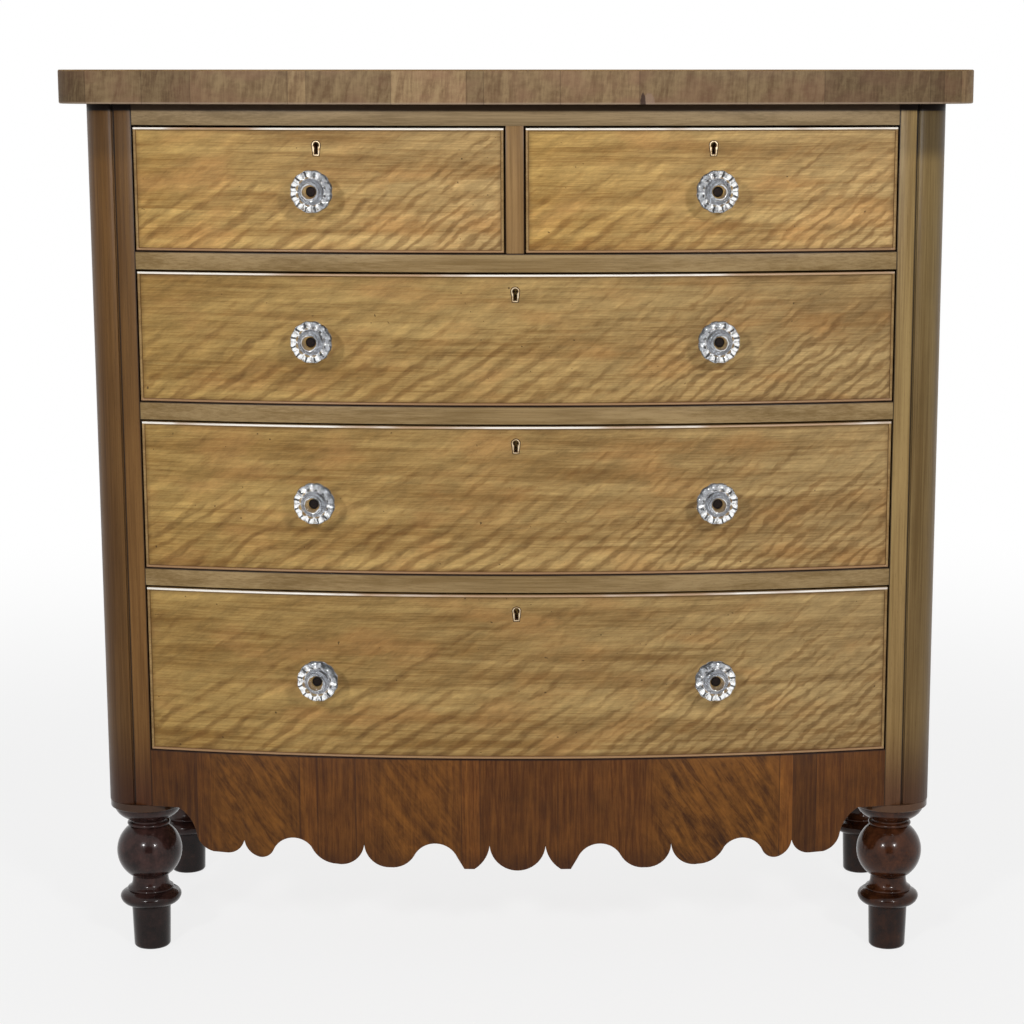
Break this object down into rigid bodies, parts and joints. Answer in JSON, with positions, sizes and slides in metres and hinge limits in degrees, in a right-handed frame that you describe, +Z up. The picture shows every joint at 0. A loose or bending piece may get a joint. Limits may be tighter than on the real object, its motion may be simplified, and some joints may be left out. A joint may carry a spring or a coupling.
{
  "type": "bow front chest of drawers",
  "caption": "Bow front chest of drawers with short drawers above long ones, glass knobs, locks, a scalloped apron and turned feet; every drawer slides and every lock bolt rises.",
  "frame": {"origin": "on the floor, below the middle of the chest's bounding box", "axes": "+X to the right of someone facing the drawers, +Y from the drawers to the back, +Z up"},
  "size_m": [1.1, 0.486, 1.105],
  "materials": {
    "drawer_veneer": "french polished",
    "frame_veneer": "french polished",
    "apron_veneer": "french polished",
    "turned_wood": "dark polish",
    "cock_bead_wood": "french polished",
    "pine": "bare, aged",
    "pressed_glass": "pressed",
    "iron": "dark, worn",
    "brass": "aged"
  },
  "bodies": {
    "carcase": {"top_board": "frame_veneer", "top_lipping": "frame_veneer", "side_left": "frame_veneer", "side_right": "frame_veneer", "corner_post_left": "frame_veneer", "corner_post_right": "frame_veneer", "front_stiles": "frame_veneer", "frieze_rail": "frame_veneer", "drawer_rails": "frame_veneer", "muntin": "frame_veneer", "apron": "apron_veneer", "bottom_board": "pine", "back_boards": "pine", "runners": "pine", "drawer_stops": "pine", "foot_blocks": "pine", "front_foot_left": "turned_wood", "front_foot_right": "turned_wood", "back_foot_left": "turned_wood", "back_foot_right": "turned_wood"},
    "left_short_drawer": {"left_short_drawer_front": "drawer_veneer", "left_short_drawer_cock_bead": "cock_bead_wood", "left_short_drawer_box": "pine", "left_short_drawer_bottom": "pine", "left_short_drawer_knobs": "pressed_glass", "left_short_drawer_knob_bolts": "iron", "left_short_drawer_lock": "brass"},
    "left_short_drawer_lock_bolt": {"left_short_drawer_lock_bolt": "brass"},
    "right_short_drawer": {"right_short_drawer_front": "drawer_veneer", "right_short_drawer_cock_bead": "cock_bead_wood", "right_short_drawer_box": "pine", "right_short_drawer_bottom": "pine", "right_short_drawer_knobs": "pressed_glass", "right_short_drawer_knob_bolts": "iron", "right_short_drawer_lock": "brass"},
    "right_short_drawer_lock_bolt": {"right_short_drawer_lock_bolt": "brass"},
    "upper_long_drawer": {"upper_long_drawer_front": "drawer_veneer", "upper_long_drawer_cock_bead": "cock_bead_wood", "upper_long_drawer_box": "pine", "upper_long_drawer_bottom": "pine", "upper_long_drawer_knobs": "pressed_glass", "upper_long_drawer_knob_bolts": "iron", "upper_long_drawer_lock": "brass"},
    "upper_long_drawer_lock_bolt": {"upper_long_drawer_lock_bolt": "brass"},
    "middle_long_drawer": {"middle_long_drawer_front": "drawer_veneer", "middle_long_drawer_cock_bead": "cock_bead_wood", "middle_long_drawer_box": "pine", "middle_long_drawer_bottom": "pine", "middle_long_drawer_knobs": "pressed_glass", "middle_long_drawer_knob_bolts": "iron", "middle_long_drawer_lock": "brass"},
    "middle_long_drawer_lock_bolt": {"middle_long_drawer_lock_bolt": "brass"},
    "lower_long_drawer": {"lower_long_drawer_front": "drawer_veneer", "lower_long_drawer_cock_bead": "cock_bead_wood", "lower_long_drawer_box": "pine", "lower_long_drawer_bottom": "pine", "lower_long_drawer_knobs": "pressed_glass", "lower_long_drawer_knob_bolts": "iron", "lower_long_drawer_lock": "brass"},
    "lower_long_drawer_lock_bolt": {"lower_long_drawer_lock_bolt": "brass"}
  },
  "joints": [
    {"name": "left_short_drawer_slide", "type": "slide", "parent": "carcase", "child": "left_short_drawer", "axis": [0, -1, 0], "range_m": [0, 0.27]},
    {"name": "left_short_drawer_lock_throw", "type": "slide", "parent": "left_short_drawer", "child": "left_short_drawer_lock_bolt", "axis": [0, 0, 1], "range_m": [0, 0.008]},
    {"name": "right_short_drawer_slide", "type": "slide", "parent": "carcase", "child": "right_short_drawer", "axis": [0, -1, 0], "range_m": [0, 0.27]},
    {"name": "right_short_drawer_lock_throw", "type": "slide", "parent": "right_short_drawer", "child": "right_short_drawer_lock_bolt", "axis": [0, 0, 1], "range_m": [0, 0.008]},
    {"name": "upper_long_drawer_slide", "type": "slide", "parent": "carcase", "child": "upper_long_drawer", "axis": [0, -1, 0], "range_m": [0, 0.27]},
    {"name": "upper_long_drawer_lock_throw", "type": "slide", "parent": "upper_long_drawer", "child": "upper_long_drawer_lock_bolt", "axis": [0, 0, 1], "range_m": [0, 0.008]},
    {"name": "middle_long_drawer_slide", "type": "slide", "parent": "carcase", "child": "middle_long_drawer", "axis": [0, -1, 0], "range_m": [0, 0.27]},
    {"name": "middle_long_drawer_lock_throw", "type": "slide", "parent": "middle_long_drawer", "child": "middle_long_drawer_lock_bolt", "axis": [0, 0, 1], "range_m": [0, 0.008]},
    {"name": "lower_long_drawer_slide", "type": "slide", "parent": "carcase", "child": "lower_long_drawer", "axis": [0, -1, 0], "range_m": [0, 0.27]},
    {"name": "lower_long_drawer_lock_throw", "type": "slide", "parent": "lower_long_drawer", "child": "lower_long_drawer_lock_bolt", "axis": [0, 0, 1], "range_m": [0, 0.008]}
  ]
}
